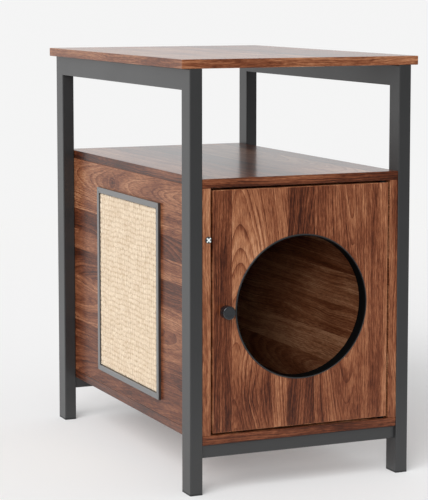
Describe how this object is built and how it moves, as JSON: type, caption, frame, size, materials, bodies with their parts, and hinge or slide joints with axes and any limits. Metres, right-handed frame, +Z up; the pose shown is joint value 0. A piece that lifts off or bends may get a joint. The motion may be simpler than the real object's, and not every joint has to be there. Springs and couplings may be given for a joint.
{
  "type": "cat litter box cabinet",
  "caption": "Walnut cabinet on a black steel tube frame that hides a cat litter tray, with a hinged door, round cat entry, open shelf and sisal scratch pad.",
  "frame": {"origin": "on the floor under the middle of the whole object, knob included", "axes": "+Z up, +X to the right as seen from the door, +Y from the door to the back"},
  "size_m": [0.426, 0.6524, 0.705],
  "materials": {
    "black_steel": "satin black powder coat",
    "walnut_board": "satin walnut-grain laminate on particle board",
    "zinc_hardware": "zinc plated",
    "black_plastic": "fine matt grain",
    "black_metal_trim": "satin black",
    "magnet": "sintered, matt",
    "sisal": "woven natural sisal, basket weave"
  },
  "bodies": {
    "cabinet": {"left_front_leg": "black_steel", "left_rear_leg": "black_steel", "right_front_leg": "black_steel", "right_rear_leg": "black_steel", "left_top_rail": "black_steel", "right_top_rail": "black_steel", "front_lower_rail": "black_steel", "rear_lower_rail": "black_steel", "top_panel": "walnut_board", "shelf_panel": "walnut_board", "bottom_panel": "walnut_board", "left_side_panel": "walnut_board", "right_side_panel": "walnut_board", "back_panel": "walnut_board", "leg_weld_nuts": "zinc_hardware", "panel_bolts": "zinc_hardware", "rail_bolts": "zinc_hardware", "top_panel_screws": "zinc_hardware", "bottom_panel_screws": "zinc_hardware", "edge_screw": "zinc_hardware", "left_cam_locks": "zinc_hardware", "right_cam_locks": "zinc_hardware", "shelf_cam_pins": "zinc_hardware", "bottom_cam_pins": "zinc_hardware", "catch_screws": "zinc_hardware", "scratch_frame_screws": "zinc_hardware", "leg_end_caps": "black_plastic", "rail_spigots": "black_plastic", "catch_housing": "black_plastic", "scratch_frame_top": "black_metal_trim", "scratch_frame_bottom": "black_metal_trim", "scratch_frame_front": "black_metal_trim", "scratch_frame_rear": "black_metal_trim", "lower_pivot_pin": "black_metal_trim", "upper_pivot_pin": "black_metal_trim", "catch_magnet": "magnet", "sisal_mat": "sisal"},
    "door": {"door_panel": "walnut_board", "entry_ring": "black_plastic", "ring_collar": "black_plastic", "knob": "black_metal_trim", "knob_screw": "zinc_hardware", "lower_pivot_bush": "black_plastic", "upper_pivot_bush": "black_plastic", "strike_plate": "zinc_hardware", "strike_screws": "zinc_hardware"}
  },
  "joints": [
    {"name": "door_hinge", "type": "hinge", "parent": "cabinet", "child": "door", "pos_m": [0.152, -0.30475, 0.096], "axis": [0, 0, 1], "range_deg": [0, 105]}
  ]
}
